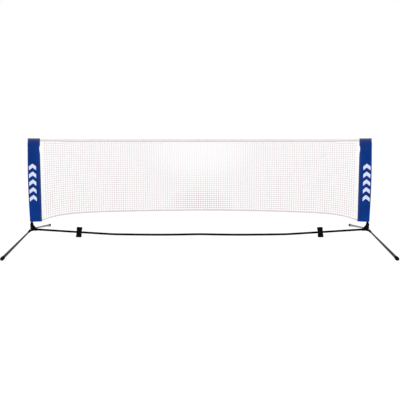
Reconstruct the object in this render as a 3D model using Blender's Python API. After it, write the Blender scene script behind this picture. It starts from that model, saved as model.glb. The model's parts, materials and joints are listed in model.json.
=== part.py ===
"""Portable badminton net: folding steel stand, telescopic posts, fabric post sleeves and net.

Metres, +Z up. X runs along the net, -Y is the front, and the origin is on the floor below the
middle of the net. The stand is symmetric, so each side piece is made for the right (+X) side
and turned over for the left one, and each leg is made for the front and turned over for the rear.
"""

import math

import bmesh
import bpy
from mathutils import Matrix, Vector

# Posts
POST_X = 1.504
LOWER_POST_R = 0.0095
UPPER_POST_R = 0.0080
TUBE_WALL = 0.0010
LOWER_POST_Z = (0.1032, 0.8500)
UPPER_POST_Z = (0.1400, 0.9015)
GAP = 0.0003

# Twist lock on top of each lower post
LOCK_R = 0.0122
LOCK_Z = (0.8300, 0.8660)
LOCK_RIBS = 10

# Ground bar: straight and slightly sloping outside BAR_BEND_X, then a shallow sag
BAR_R = 0.0090
BAR_SLOPE = 0.0640
BAR_AXIS_AT_POST = 0.1092
BAR_SAG = ((0.80, 0.0641), (0.70, 0.0618), (0.57, 0.0600), (0.35, 0.0585), (0.15, 0.0605), (0.0, 0.0632))
BAR_BEND_X = BAR_SAG[0][0]
BAR_JOINT_X = 0.750
BAR_END_X = 1.4850
BAR_STEP = 0.050
SPIGOT_R = 0.0075
SPIGOT_HALF = 0.045

# Hub: vertical socket, bar socket, gusset and two leg lugs
HUB_Z = (0.0940, 0.1640)
HUB_R = 0.0140
BAR_SOCKET_R = 0.0128
BAR_SOCKET_X = 1.458
WEB_HALF = 0.0035
LUG_HALF = 0.0036
EAR_R = 0.0088

# Legs
PIVOT_Y = 0.032
FOOT_AT = Vector((1.534, -0.500, 0.0142))
EAR_OUT = 0.0079
EAR_IN = 0.0040
FORK_CROTCH = 0.0115
FORK_END = 0.038
FORK_R = 0.0099
FORK_BORE = 0.0072
LEG_START = 0.020
LEG_END = 0.4785
LEG_R = (0.0068, 0.0122)
LEG_WALL = 0.0012
FOOT_START = 0.4625
FOOT_END = 0.4910
FOOT_R = 0.0150
FOOT_BORE_END = 0.4795
RIVET_R = 0.0030
RIVET_HEAD_R = 0.0052
RIVET_HEAD = 0.0020

# Storage clips on the bar
CLIP_X = 1.082
CLIP_HALF = 0.0215
CLIP_TILT = math.radians(10)
JAW_OFFSET = PIVOT_Y
JAW_R = 0.0168
JAW_BORE = 0.0124
JAW_MOUTH = 0.0186
BARREL_R = 0.0142
BARREL_BORE = 0.0094

# Sleeves, cuffs and net
SLEEVE_Z = (0.1775, 0.9195)
SLEEVE_R = 0.0155
SLEEVE_WALL = 0.0014
SLEEVE_EDGE_X = 1.4140
SLEEVE_EDGE_HALF = 0.0032
SLEEVE_POCKET_EDGE_X = 1.4225
POCKET_TOP = 0.9155
CUFF_Z = (0.8600, 0.9235)
CUFF_WALL = 0.0014
CUFF_EDGE_X = 1.4110
NET_HALF = 0.0006
TAPE_HALF = 0.0013
TOP_TAPE_Z = (0.8915, 0.9195)
SIDE_TAPE_X = (1.3885, 1.4130)
BOTTOM_TAPE = 0.0120
NET_LOW = 0.2765
NET_ARCH = (0.037, 0.058)
NET_SPAN = 1.4145

ROUND = 20
X_AXIS = Vector((1, 0, 0))
Y_AXIS = Vector((0, 1, 0))
Z_AXIS = Vector((0, 0, 1))

for old in list(bpy.data.objects):
    bpy.data.objects.remove(old, do_unlink=True)


# ---------------------------------------------------------------- materials
def material(name, colour, roughness, metallic=0.0):
    made = bpy.data.materials.new(name)
    made.use_nodes = True
    shader = made.node_tree.nodes["Principled BSDF"]
    shader.inputs["Base Color"].default_value = (*colour, 1.0)
    shader.inputs["Roughness"].default_value = roughness
    shader.inputs["Metallic"].default_value = metallic
    made.diffuse_color = (*colour, 1.0)
    return made


MATERIALS = {
    "black_plastic": material("black_plastic", (0.018, 0.018, 0.020), 0.45),
    "black_steel": material("black_steel", (0.012, 0.012, 0.013), 0.35, 0.3),
    "grey_steel": material("grey_steel", (0.16, 0.16, 0.17), 0.38, 0.7),
    "zinc_steel": material("zinc_steel", (0.45, 0.46, 0.48), 0.30, 1.0),
    "rubber": material("rubber", (0.020, 0.020, 0.021), 0.80),
    "blue_fabric": material("blue_fabric", (0.008, 0.040, 0.230), 0.85),
    "tape": material("tape", (0.84, 0.79, 0.80), 0.80),
    "net_twine": material("net_twine", (0.72, 0.50, 0.54), 0.85),
}


# ---------------------------------------------------------------- shape tools
def frame_of(origin, along, side=None):
    """Matrix whose Z is along, X as near side as it can be, at origin."""
    z = Vector(along).normalized()
    guess = Vector(side) if side is not None else (X_AXIS if abs(z.x) < 0.9 else Y_AXIS)
    x = (guess - z * guess.dot(z)).normalized()
    turn = Matrix((x, z.cross(x), z)).transposed().to_4x4()
    return Matrix.Translation(origin) @ turn


def closed(bm):
    bmesh.ops.recalc_face_normals(bm, faces=bm.faces)
    return bm


def loft(rings, hollow=False):
    """Bridge rings of points in order. The ends are filled, or joined to each other if hollow."""
    bm = bmesh.new()
    loops = [[bm.verts.new(p) for p in ring] for ring in rings]
    pairs = list(zip(loops, loops[1:]))
    if hollow:
        pairs.append((loops[-1], loops[0]))
    for low, high in pairs:
        for i in range(len(low)):
            j = (i + 1) % len(low)
            bm.faces.new((low[i], low[j], high[j], high[i]))
    if not hollow:
        bm.faces.new(loops[0])
        bm.faces.new(loops[-1])
    return closed(bm)


def ring(radius, height, sides=ROUND, lobes=0, depth=0.0):
    """A level ring of points, with lobes of the given depth."""
    points = []
    for i in range(sides):
        turn = 2 * math.pi * i / sides
        reach = radius + depth * (0.5 + 0.5 * math.cos(lobes * turn)) if lobes else radius
        points.append(Vector((reach * math.cos(turn), reach * math.sin(turn), height)))
    return points


def turned(profile, place=None, sides=ROUND, hollow=False):
    """A solid turned about local Z from (radius, height) pairs. A hollow one closes on itself."""
    bm = loft([ring(r, h, sides) for r, h in profile], hollow)
    bm.transform(place or Matrix.Identity(4))
    return bm


def tube(radius, bore, low, high, place=None, sides=ROUND):
    profile = ((radius, low), (radius, high), (bore, high), (bore, low))
    return turned(profile, place, sides, hollow=True)


def rod(radius, low, high, place=None, sides=ROUND):
    return turned(((radius, low), (radius, high)), place, sides)


def prism(outline, low, high, place=None):
    """A flat outline of (x, y) pairs, extruded from low to high."""
    bm = loft([[Vector((x, y, h)) for x, y in outline] for h in (low, high)])
    bm.transform(place or Matrix.Identity(4))
    return bm


def swept(path, radius, bore=None, sides=ROUND):
    """A rod or tube along a path in the XZ plane, its rings square to the path."""
    def rings(reach, points):
        made = []
        for i, p in enumerate(points):
            ahead = points[min(i + 1, len(points) - 1)] - points[max(i - 1, 0)]
            up = Y_AXIS.cross(ahead.normalized())
            turns = [2 * math.pi * k / sides for k in range(sides)]
            made.append([p + (Y_AXIS * math.cos(a) + up * math.sin(a)) * reach for a in turns])
        return made

    if bore is None:
        return loft(rings(radius, path))
    return loft(rings(radius, path) + rings(bore, path)[::-1], hollow=True)


def combine(base, others, operation):
    """Boolean base with each of the others, as meshes."""
    def as_object(bm):
        mesh = bpy.data.meshes.new("tool")
        bm.to_mesh(mesh)
        made = bpy.data.objects.new("tool", mesh)
        bpy.context.scene.collection.objects.link(made)
        return made

    body = as_object(base)
    tools = [as_object(bm) for bm in others]
    for tool in tools:
        step = body.modifiers.new("join", "BOOLEAN")
        step.operation = operation
        step.solver = "EXACT"
        step.object = tool
    result = bmesh.new()
    result.from_object(body, bpy.context.evaluated_depsgraph_get())
    for made in (body, *tools):
        mesh = made.data
        bpy.data.objects.remove(made, do_unlink=True)
        bpy.data.meshes.remove(mesh)
    bmesh.ops.remove_doubles(result, verts=result.verts, dist=1e-6)
    bmesh.ops.dissolve_degenerate(result, dist=1e-6, edges=result.edges)
    return result


def joined(*shapes):
    return combine(shapes[0], shapes[1:], "UNION")


def cut(base, *cutters):
    return combine(base, cutters, "DIFFERENCE")


def mirrored(bm, flip_x, flip_y):
    """A copy turned over across X and/or Y, still facing outward."""
    made = bm.copy()
    made.transform(Matrix.Diagonal((-1 if flip_x else 1, -1 if flip_y else 1, 1, 1)))
    if flip_x != flip_y:
        bmesh.ops.reverse_faces(made, faces=made.faces)
    return made


def node(name, bm, slot, origin=(0, 0, 0)):
    """The named object, its own origin at the given point."""
    origin = Vector(origin)
    made = bm.copy()
    made.transform(Matrix.Translation(-origin))
    mesh = bpy.data.meshes.new(name)
    made.to_mesh(mesh)
    made.free()
    mesh.shade_smooth()
    mesh.set_sharp_from_angle(angle=math.radians(35))
    mesh.materials.append(MATERIALS[slot])
    item = bpy.data.objects.new(name, mesh)
    item.location = origin
    bpy.context.scene.collection.objects.link(item)
    return item


def both_sides(stem, bm, slot, origin=(0, 0, 0)):
    for side, flip in (("right", False), ("left", True)):
        place = Vector(origin)
        place.x *= -1 if flip else 1
        node(f"{stem}_{side}", mirrored(bm, flip, False), slot, place)


def all_corners(stem, bm, slot, origin=(0, 0, 0)):
    for side, flip_x in (("right", False), ("left", True)):
        for end, flip_y in (("front", False), ("rear", True)):
            place = Vector(origin)
            place.x *= -1 if flip_x else 1
            place.y *= -1 if flip_y else 1
            node(f"{stem}_{end}_{side}", mirrored(bm, flip_x, flip_y), slot, place)


# ---------------------------------------------------------------- bar route
def bar_height(x):
    """Height of the bar's axis at x: a straight slope outside the bend, a smooth sag inside."""
    x = abs(x)
    if x >= BAR_BEND_X:
        return BAR_AXIS_AT_POST - (POST_X - x) * BAR_SLOPE
    knots = [(-BAR_SAG[-2][0], BAR_SAG[-2][1])] + list(BAR_SAG[::-1])
    knots.append((1.0, BAR_AXIS_AT_POST - (POST_X - 1.0) * BAR_SLOPE))
    spans = list(zip(knots, knots[1:], knots[2:], knots[3:]))
    before, low, high, after = next(s for s in spans if s[1][0] <= x <= s[2][0] + 1e-9)
    share = (x - low[0]) / (high[0] - low[0])
    width = high[0] - low[0]
    slope_low = (high[1] - before[1]) / (high[0] - before[0])
    slope_high = (after[1] - low[1]) / (after[0] - low[0])
    rise = 3 * share**2 - 2 * share**3
    ends = (share**3 - 2 * share**2 + share) * slope_low + (share**3 - share**2) * slope_high
    return low[1] + (high[1] - low[1]) * rise + width * ends


def bar_path(low, high):
    """Points on the bar's axis: the ends, and every BAR_STEP between them where it is curved."""
    count = math.ceil(BAR_BEND_X / BAR_STEP)
    grid = [i * BAR_STEP for i in range(-count, count + 1)]
    xs = [low] + [x for x in grid if low + 0.004 < x < high - 0.004] + [high]
    return [Vector((x, 0, bar_height(x))) for x in xs]


BAR_INWARD = Vector((-1, 0, -BAR_SLOPE)).normalized()
PIVOT = Vector((POST_X, -PIVOT_Y, BAR_AXIS_AT_POST))
LEG_LINE = (FOOT_AT - PIVOT).normalized()
LEG_HINGE = LEG_LINE.cross(BAR_INWARD).normalized()


# ---------------------------------------------------------------- hub
def lug(pivot, hinge, leg_line):
    """A plate from the hub barrel to a leg pivot, its end rounded about the hinge."""
    back = -leg_line
    side = hinge.cross(back)
    arc = [math.pi * k / 8 - math.pi / 2 for k in range(9)]
    outline = [(-EAR_R * math.cos(a), EAR_R * math.sin(a)) for a in arc]
    reach = PIVOT_Y - 0.004
    outline += [(reach, EAR_R), (reach, -EAR_R)]
    place = Matrix.Translation(pivot) @ Matrix((back, side, hinge)).transposed().to_4x4()
    return prism(outline, -LUG_HALF, LUG_HALF, place)


def make_hub():
    upright = Matrix.Translation((POST_X, 0, 0))
    barrel = turned(((HUB_R - 0.0015, HUB_Z[0]), (HUB_R, HUB_Z[0] + 0.0015),
                     (HUB_R, HUB_Z[1] - 0.0015), (HUB_R - 0.0015, HUB_Z[1])), upright, 24)
    along = frame_of((POST_X, 0, BAR_AXIS_AT_POST), BAR_INWARD, Y_AXIS)
    reach = (POST_X - BAR_SOCKET_X) / -BAR_INWARD.x
    socket = turned(((BAR_SOCKET_R, 0.003), (BAR_SOCKET_R, reach - 0.0015),
                     (BAR_SOCKET_R - 0.0015, reach)), along)
    web_top = HUB_Z[1] - 0.013
    web = prism(((POST_X - 0.004, BAR_AXIS_AT_POST), (POST_X - 0.004, web_top),
                 (POST_X - HUB_R + 0.001, web_top), (BAR_SOCKET_X + 0.004, BAR_AXIS_AT_POST + 0.006),
                 (BAR_SOCKET_X + 0.004, BAR_AXIS_AT_POST)), -WEB_HALF, WEB_HALF,
                Matrix.Rotation(math.pi / 2, 4, "X"))
    front = lug(PIVOT, LEG_HINGE, LEG_LINE)
    shell = joined(barrel, socket, web, front, mirrored(front, False, True))
    post_bore = rod(LOWER_POST_R + GAP, LOWER_POST_Z[0] - GAP, HUB_Z[1] + 0.01, upright, 24)
    bar_bore = rod(BAR_R + GAP, (POST_X - BAR_END_X) - GAP, reach + 0.01, along)
    pin = rod(RIVET_R + GAP, -0.02, 0.02, frame_of(PIVOT, LEG_HINGE), 12)
    holes = [post_bore, bar_bore, pin, mirrored(pin, False, True)]
    return cut(shell, *holes, screw_hole(POST_SCREW), screw_hole(BAR_SCREW))


# ---------------------------------------------------------------- screws
SCREW_R = 0.0021
SCREW_HEAD_R = 0.0042
SCREW_HEAD = 0.0022
POST_SCREW = (Vector((POST_X, 0, HUB_Z[1] - 0.012)), Vector((1, 0, 0)), HUB_R)
BAR_SCREW = (Vector((BAR_SOCKET_X + 0.012, 0, bar_height(BAR_SOCKET_X + 0.012))),
             Vector((0, 1, 0)), BAR_SOCKET_R)


def screw_hole(screw):
    point, out, reach = screw
    return rod(SCREW_R + GAP, 0.0, reach + 0.01, frame_of(point, out), 12)


def screw_body(screw, inner):
    """A pan-head screw whose tip stops at radius inner from the socket's axis."""
    point, out, reach = screw
    under = reach + GAP
    profile = ((SCREW_R, inner), (SCREW_R, under), (SCREW_HEAD_R, under),
               (SCREW_HEAD_R, under + SCREW_HEAD * 0.5), (SCREW_HEAD_R * 0.7, under + SCREW_HEAD))
    return turned(profile, frame_of(point, out), 12)


hub = make_hub()
both_sides("hub", hub, "black_plastic")
both_sides("post_screw", screw_body(POST_SCREW, LOWER_POST_R - TUBE_WALL + 0.0002), "zinc_steel")
both_sides("bar_screw", screw_body(BAR_SCREW, BAR_R - TUBE_WALL + 0.0002), "zinc_steel")


# ---------------------------------------------------------------- posts
post_axis = Matrix.Translation((POST_X, 0, 0))
lower_post = cut(tube(LOWER_POST_R, LOWER_POST_R - TUBE_WALL, *LOWER_POST_Z, post_axis),
                 screw_hole(POST_SCREW))
both_sides("lower_post", lower_post, "black_steel", (POST_X, 0, LOWER_POST_Z[0]))
upper_post = tube(UPPER_POST_R, UPPER_POST_R - TUBE_WALL, *UPPER_POST_Z, post_axis)
both_sides("upper_post", upper_post, "grey_steel", (POST_X, 0, UPPER_POST_Z[0]))

# Nylon glide in the bottom end of each upper post, wide enough to steady it in the lower one
glide = turned(((0.0035, UPPER_POST_Z[0] - 0.010), (0.0081, UPPER_POST_Z[0] - 0.008),
                (0.0081, UPPER_POST_Z[0] - GAP), (0.0066, UPPER_POST_Z[0] - GAP),
                (0.0066, UPPER_POST_Z[0] + 0.014), (0.0055, UPPER_POST_Z[0] + 0.016)), post_axis)
both_sides("post_glide", glide, "black_plastic", (POST_X, 0, UPPER_POST_Z[0]))

cap_seat = UPPER_POST_Z[1] + GAP
cap = turned(((0.0055, cap_seat - 0.018), (0.0066, cap_seat - 0.016), (0.0066, cap_seat),
              (0.0115, cap_seat), (0.0115, cap_seat + 0.007), (0.0090, cap_seat + 0.0105)), post_axis)
both_sides("post_cap", cap, "black_plastic", (POST_X, 0, cap_seat))


def make_lock():
    """A ribbed twist collar: its skirt grips the lower post, its lip closes round the upper one."""
    ribs = LOCK_RIBS * 4
    low, high = LOCK_Z
    step = LOWER_POST_Z[1] + GAP
    outer = [ring(LOCK_R - 0.0010, low, ribs), ring(LOCK_R - 0.0008, low + 0.001, ribs, LOCK_RIBS, 0.0008),
             ring(LOCK_R - 0.0008, high - 0.003, ribs, LOCK_RIBS, 0.0008), ring(LOCK_R - 0.0022, high, ribs)]
    inner = [ring(UPPER_POST_R + GAP, high, ribs), ring(UPPER_POST_R + GAP, step, ribs),
             ring(LOWER_POST_R + GAP, step, ribs), ring(LOWER_POST_R + GAP, low, ribs)]
    bm = loft(outer + inner, hollow=True)
    bm.transform(post_axis)
    return bm


both_sides("post_lock", make_lock(), "black_plastic", (POST_X, 0, LOCK_Z[0]))


# ---------------------------------------------------------------- legs
leg_frame = frame_of(PIVOT, LEG_LINE, LEG_HINGE)  # local X is the hinge, Z runs down the leg


def make_fork():
    """A collar on the leg's end with two ears that straddle the hub's lug."""
    collar = turned(((FORK_R - 0.001, FORK_CROTCH), (FORK_R, FORK_CROTCH + 0.001),
                     (FORK_R, FORK_END - 0.001), (FORK_R - 0.001, FORK_END)), leg_frame)
    arc = [math.pi * k / 8 for k in range(9)]
    outline = [(EAR_R * math.cos(a), -EAR_R * math.sin(a)) for a in arc]
    outline += [(-EAR_R * 0.8, FORK_CROTCH + 0.006), (EAR_R * 0.8, FORK_CROTCH + 0.006)]
    turn = Matrix(((0, 0, 1, 0), (1, 0, 0, 0), (0, 1, 0, 0), (0, 0, 0, 1)))
    ears = [prism(outline, low, high, leg_frame @ turn)
            for low, high in ((EAR_IN, EAR_OUT), (-EAR_OUT, -EAR_IN))]
    solid = joined(collar, *ears)
    bore = rod(FORK_BORE, LEG_START - GAP, FORK_END + 0.01, leg_frame)
    pin = rod(RIVET_R + GAP, -0.02, 0.02, frame_of(PIVOT, LEG_HINGE), 12)
    return cut(solid, bore, pin)


leg = turned(((LEG_R[0], LEG_START), (LEG_R[0], FORK_END), (LEG_R[1], LEG_END),
              (LEG_R[1] - LEG_WALL, LEG_END), (LEG_R[0] - LEG_WALL, LEG_START)), leg_frame, hollow=True)
all_corners("leg", leg, "grey_steel", PIVOT)
all_corners("leg_fork", make_fork(), "black_plastic", PIVOT)


def make_foot():
    """A rubber cup over the leg's end, cut level where it stands on the floor."""
    cup = turned(((LEG_R[1] + 0.0014, FOOT_START), (FOOT_R - 0.001, FOOT_START + 0.004),
                  (FOOT_R, FOOT_START + 0.012), (FOOT_R, FOOT_END - 0.004),
                  (FOOT_R - 0.004, FOOT_END)), leg_frame)
    slope = (LEG_R[1] - LEG_R[0]) / (LEG_END - FORK_END)
    open_end = FOOT_START - 0.01
    bore = turned(((LEG_R[1] + GAP - slope * (LEG_END - open_end), open_end), (LEG_R[1] + GAP, LEG_END),
                   (LEG_R[1] + GAP, FOOT_BORE_END)), leg_frame)
    below = prism(((1.4, -0.6), (1.7, -0.6), (1.7, -0.4), (1.4, -0.4)), -0.1, 0.0)
    return cut(cup, bore, below)


all_corners("foot", make_foot(), "rubber", PIVOT)

rivet_end = EAR_OUT + GAP
rivet = turned(((RIVET_HEAD_R * 0.6, -rivet_end - RIVET_HEAD), (RIVET_HEAD_R, -rivet_end - RIVET_HEAD * 0.4),
                (RIVET_HEAD_R, -rivet_end), (RIVET_R, -rivet_end), (RIVET_R, rivet_end),
                (RIVET_HEAD_R, rivet_end), (RIVET_HEAD_R, rivet_end + RIVET_HEAD * 0.4),
                (RIVET_HEAD_R * 0.6, rivet_end + RIVET_HEAD)), frame_of(PIVOT, LEG_HINGE), 12)
all_corners("leg_rivet", rivet, "zinc_steel", PIVOT)


# ---------------------------------------------------------------- bar
def bar_piece(low, high):
    return swept(bar_path(low, high), BAR_R, BAR_R - TUBE_WALL, 16)


outer_bar = cut(bar_piece(BAR_JOINT_X + GAP, BAR_END_X), screw_hole(BAR_SCREW))
both_sides("bar_outer", outer_bar, "black_steel")
both_sides("bar_inner", bar_piece(GAP, BAR_JOINT_X - GAP), "black_steel")
both_sides("bar_spigot", swept(bar_path(BAR_JOINT_X - SPIGOT_HALF, BAR_JOINT_X + SPIGOT_HALF),
                               SPIGOT_R, SPIGOT_R - TUBE_WALL, 16), "zinc_steel")
node("bar_spigot_middle", swept(bar_path(-SPIGOT_HALF, SPIGOT_HALF),
                                SPIGOT_R, SPIGOT_R - TUBE_WALL, 16), "zinc_steel")


# ---------------------------------------------------------------- storage clips
CLIP_AT = Vector((CLIP_X, 0, bar_height(CLIP_X)))


def make_clip():
    """A barrel that turns on the bar, with an open jaw each side for a folded leg."""
    upright = Vector((0, -math.sin(CLIP_TILT), -math.cos(CLIP_TILT)))
    place = frame_of(CLIP_AT, BAR_INWARD, upright)  # local X points to the lower jaw
    solids = [rod(BARREL_R, -CLIP_HALF, CLIP_HALF, place)]
    cutters = [rod(BARREL_BORE, -CLIP_HALF - 0.01, CLIP_HALF + 0.01, place)]
    half = JAW_MOUTH / 2
    for sign in (1, -1):
        at = place @ Matrix.Translation((sign * JAW_OFFSET, 0, 0))
        solids.append(rod(JAW_R, -CLIP_HALF, CLIP_HALF, at))
        near, far = sorted((sign * 0.009, sign * (JAW_OFFSET - JAW_BORE)))
        bridge = ((near, -0.0065), (far, -0.0065), (far, 0.0065), (near, 0.0065))
        solids.append(prism(bridge, -CLIP_HALF, CLIP_HALF, place))
        cutters.append(rod(JAW_BORE, -CLIP_HALF - 0.01, CLIP_HALF + 0.01, at))
        mouth = [(0.0, -half), (sign * 0.030, -half * 1.35), (sign * 0.030, half * 1.35), (0.0, half)]
        cutters.append(prism(mouth if sign > 0 else mouth[::-1], -CLIP_HALF - 0.01, CLIP_HALF + 0.01, at))
    return cut(joined(*solids), *cutters)


both_sides("storage_clip", make_clip(), "black_plastic", CLIP_AT)


# ---------------------------------------------------------------- sleeves and cuffs
def teardrop(radius, edge_x, edge_half, height, arc_steps=12):
    """Level outline of fabric wrapped round a post and drawn flat to an edge at edge_x."""
    reach = POST_X - edge_x
    lean = math.asin((radius - edge_half) / reach)
    start = math.pi / 2 + lean
    points = [Vector((edge_x, -edge_half, height)), Vector((edge_x, edge_half, height))]
    for k in range(arc_steps + 1):
        turn = start - 2 * start * k / arc_steps
        x, y = radius * math.cos(turn), radius * math.sin(turn)
        points.append(Vector((POST_X + x, y, height)))
    return points


def make_bag(radius, edge_x, edge_half, wall, pocket_edge_x, span, pocket_top, open_top=False):
    low, high = span
    inner_edge = max(edge_half - wall, 0.0008)
    outer = [teardrop(radius, edge_x, edge_half, z) for z in (low, high)]
    inner = [teardrop(radius - wall, pocket_edge_x, inner_edge, z) for z in (pocket_top, low)]
    if open_top:
        return loft(outer + inner, hollow=True)
    bm = bmesh.new()
    loops = [[bm.verts.new(p) for p in points] for points in outer + inner]
    for a, b in ((0, 1), (2, 3), (3, 0)):
        for i in range(len(loops[0])):
            j = (i + 1) % len(loops[0])
            bm.faces.new((loops[a][i], loops[a][j], loops[b][j], loops[b][i]))
    bm.faces.new(loops[1])
    bm.faces.new(loops[2])
    return closed(bm)


sleeve = make_bag(SLEEVE_R, SLEEVE_EDGE_X, SLEEVE_EDGE_HALF, SLEEVE_WALL, SLEEVE_POCKET_EDGE_X,
                  SLEEVE_Z, POCKET_TOP)
both_sides("sleeve", sleeve, "blue_fabric", (POST_X, 0, SLEEVE_Z[0]))
skin = CUFF_WALL + GAP
cuff = make_bag(SLEEVE_R + skin, CUFF_EDGE_X, SLEEVE_EDGE_HALF + skin + 0.0004, CUFF_WALL,
                SLEEVE_EDGE_X - 0.0006, CUFF_Z, SLEEVE_Z[1] + GAP)
both_sides("sleeve_cuff", cuff, "blue_fabric", (POST_X, 0, CUFF_Z[0]))


# ---------------------------------------------------------------- net
def net_low(x):
    """Height of the net's arched lower edge."""
    t = abs(x) / NET_SPAN
    return NET_LOW - NET_ARCH[0] * t**2 - NET_ARCH[1] * t**10


def hanging_strip(half_x, low_of, high_of, half_y, count=40):
    """A thin panel across the net between two curves of height."""
    xs = [half_x * math.sin(math.pi / 2 * (2 * i / count - 1)) for i in range(count + 1)]
    rings = []
    for x in xs:
        low, high = low_of(x), high_of(x)
        rings.append([Vector((x, -half_y, low)), Vector((x, half_y, low)),
                      Vector((x, half_y, high)), Vector((x, -half_y, high))])
    return loft(rings)


panel_x = SIDE_TAPE_X[0] - GAP
panel = hanging_strip(panel_x, lambda x: net_low(x) + BOTTOM_TAPE + GAP,
                      lambda x: TOP_TAPE_Z[0] - GAP, NET_HALF)
node("net_panel", panel, "net_twine")
node("net_top_tape", hanging_strip(CUFF_EDGE_X - GAP, lambda x: TOP_TAPE_Z[0],
                                   lambda x: TOP_TAPE_Z[1], TAPE_HALF, 2), "tape")
node("net_bottom_tape", hanging_strip(panel_x, net_low, lambda x: net_low(x) + BOTTOM_TAPE,
                                      TAPE_HALF), "tape")
low_x, high_x = SIDE_TAPE_X
notch_x = CUFF_EDGE_X - GAP
cuff_low = CUFF_Z[0] - GAP
tape_low = TOP_TAPE_Z[0] - GAP
side_outline = ((low_x, net_low(low_x)), (high_x, net_low(high_x)), (high_x, cuff_low),
                (notch_x, cuff_low), (notch_x, tape_low), (low_x, tape_low))
side_tape = prism([(x, z) for x, z in side_outline], -TAPE_HALF, TAPE_HALF,
                  Matrix.Rotation(math.pi / 2, 4, "X"))
both_sides("net_side_tape", side_tape, "tape")
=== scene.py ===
"""Looks of the portable badminton net: fabric sleeves, knotted net, woven tapes and materials.

Metres, +Z up, X along the net, -Y the front. CAD pieces keep their places and get materials here;
the soft pieces are made finer and hide their plain CAD solids.
"""

import json
import math

import bmesh
import bpy
import numpy as np
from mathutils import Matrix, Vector, noise


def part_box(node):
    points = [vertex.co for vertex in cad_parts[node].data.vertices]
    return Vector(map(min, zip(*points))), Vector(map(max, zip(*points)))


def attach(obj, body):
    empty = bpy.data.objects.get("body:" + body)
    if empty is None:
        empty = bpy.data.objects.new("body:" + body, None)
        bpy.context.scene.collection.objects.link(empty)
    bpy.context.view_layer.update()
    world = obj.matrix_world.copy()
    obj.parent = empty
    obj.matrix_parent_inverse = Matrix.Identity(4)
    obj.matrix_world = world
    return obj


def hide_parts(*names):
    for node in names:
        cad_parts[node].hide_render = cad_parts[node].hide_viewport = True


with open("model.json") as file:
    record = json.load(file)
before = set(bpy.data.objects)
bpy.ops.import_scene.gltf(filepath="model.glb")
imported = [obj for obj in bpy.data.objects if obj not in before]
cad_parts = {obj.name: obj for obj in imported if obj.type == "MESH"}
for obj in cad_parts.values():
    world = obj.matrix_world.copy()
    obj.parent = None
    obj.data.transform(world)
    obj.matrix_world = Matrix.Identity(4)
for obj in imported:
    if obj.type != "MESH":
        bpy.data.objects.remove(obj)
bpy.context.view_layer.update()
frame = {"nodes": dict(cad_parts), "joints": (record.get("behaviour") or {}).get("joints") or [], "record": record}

CARRIAGE = "net_carriage"
SIDES = {"right": 1, "left": -1}
FRONT, BACK = -1, 1      # the sign of Y on the two faces of a cloth

# Sizes the CAD boxes give
panel_low, panel_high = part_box("net_panel")
top_low, top_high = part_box("net_top_tape")
edge_low, edge_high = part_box("net_side_tape_right")
bag_low, bag_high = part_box("sleeve_right")
cuff_low, cuff_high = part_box("sleeve_cuff_right")
post_low, post_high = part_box("lower_post_right")
POST_X = (post_low.x + post_high.x) / 2

# Camera, and lights as (place, aim, size, power)
CAMERA_PLACE = (0.0026, -3.6216, 1.1022)
CAMERA_DIP = 4.155       # degrees below level
LIGHTS = {
    "key": ((-2.5, -3.5, 3.4), (0, 0, 0.5), (3.0, 2.0), 60),
    "fill": ((3.0, -2.5, 2.2), (0, 0, 0.4), (2.5, 2.0), 25),
    "rim_right": ((1.36, 0.85, 0.36), (1.47, 0.28, 0.06), (0.5, 0.25), 6),
    "rim_left": ((-1.36, 0.85, 0.36), (-1.47, 0.28, 0.06), (0.5, 0.25), 6),
}
FLOOR_REACH = 40.0
FLOOR_Z = -0.0005
FLOOR_TONE = 0.08
FLOOR_GLOW = 0.935

# Net, with the ovals (half width, half height, middle height) where the twine changes
MESH_WIDE = 0.0198
MESH_ROWS = 34
TWINE_R = 0.00074
KNOT_R = TWINE_R * 1.75
MESH_TUCK = 0.002        # the mesh runs this far into the top and bottom tapes
SIDE_TUCK = 0.003        # and this far into the side tapes
PATCH = (0.31, 0.15, panel_low.z + 0.135)  # pinker and fuller
FADE = (0.50, 0.29, panel_high.z - 0.06)   # bleached and thinner

# Tapes
TOP_HALF = 0.0011
TOP_ROLL = 0.0024
GATHER = 0.0048          # how far the top tape's lower edge is drawn up at its ends
GATHER_X = (1.17, 1.25)  # from where to where along the net it is drawn up
TAPE_TALL = 0.0140       # the bottom tape's height
BOTTOM_HALF = 0.0013
BOTTOM_ROLL = 0.0017
ARCH_FALL = 0.46         # slope of the net's lower edge past the net's own ends
TAPE_STEPS = 160
HEM_PITCH = 0.008
SEAM_END = 0.004         # the seams stop this far short of the tapes' ends

# Sleeves and cuffs
TUNNEL_R = 0.0150
TOP_DRAW = 0.0022        # the tunnel is a little tighter round the top of the post
SEAM_X = POST_X - 0.032  # from here outward the cloth leaves the flat part for the tunnel
FLAT_HALF = 0.0013
BOW = 0.0075             # how far the tunnel bulges outward at half height
CLOTH = 0.0011
TUCK = 0.0015            # the side tapes and the bottom tape run this far into the sleeve
FLAT_STEPS = 14
SLOPE_STEPS = 6
ARC_STEPS = 16
SLEEVE_STEPS = 110
CUFF_TOP = cuff_high.z + 0.0008
CUFF_REACH = bag_low.x - cuff_low.x - 0.0008
CUFF_CLOTH = 0.0007
CUFF_STEPS = 24
SEAM_PITCH = 0.006

# Stitches
STITCH_WIDE = 0.0009
STITCH_PROUD = 0.0004
STITCH_FILL = 0.68       # a stitch's share of its pitch

# Print on the sleeves
MOTIF_LOW, MOTIF_HIGH = 0.362, 0.700
MOTIF_X = (POST_X - 0.051, POST_X + 0.006)
MOTIF_COUNT = 5
MOTIF_BAND = 0.034
MOTIF_PEAK = 0.024
MOTIF_CELLS = (28, 6)
INK_PROUD, INK_SUNK = 0.00035, 0.00005

# Stand
PIPE_SIDES = 40
PIPE_WALL = 0.0010
LEG_WALL = 0.0012
RIVET_SIDES = 28
SHANK_R = 0.003
DOME_RISE = 0.002
DOME_ANGLES = (0.0, 0.35, 0.7, 1.05, 1.35)


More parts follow.
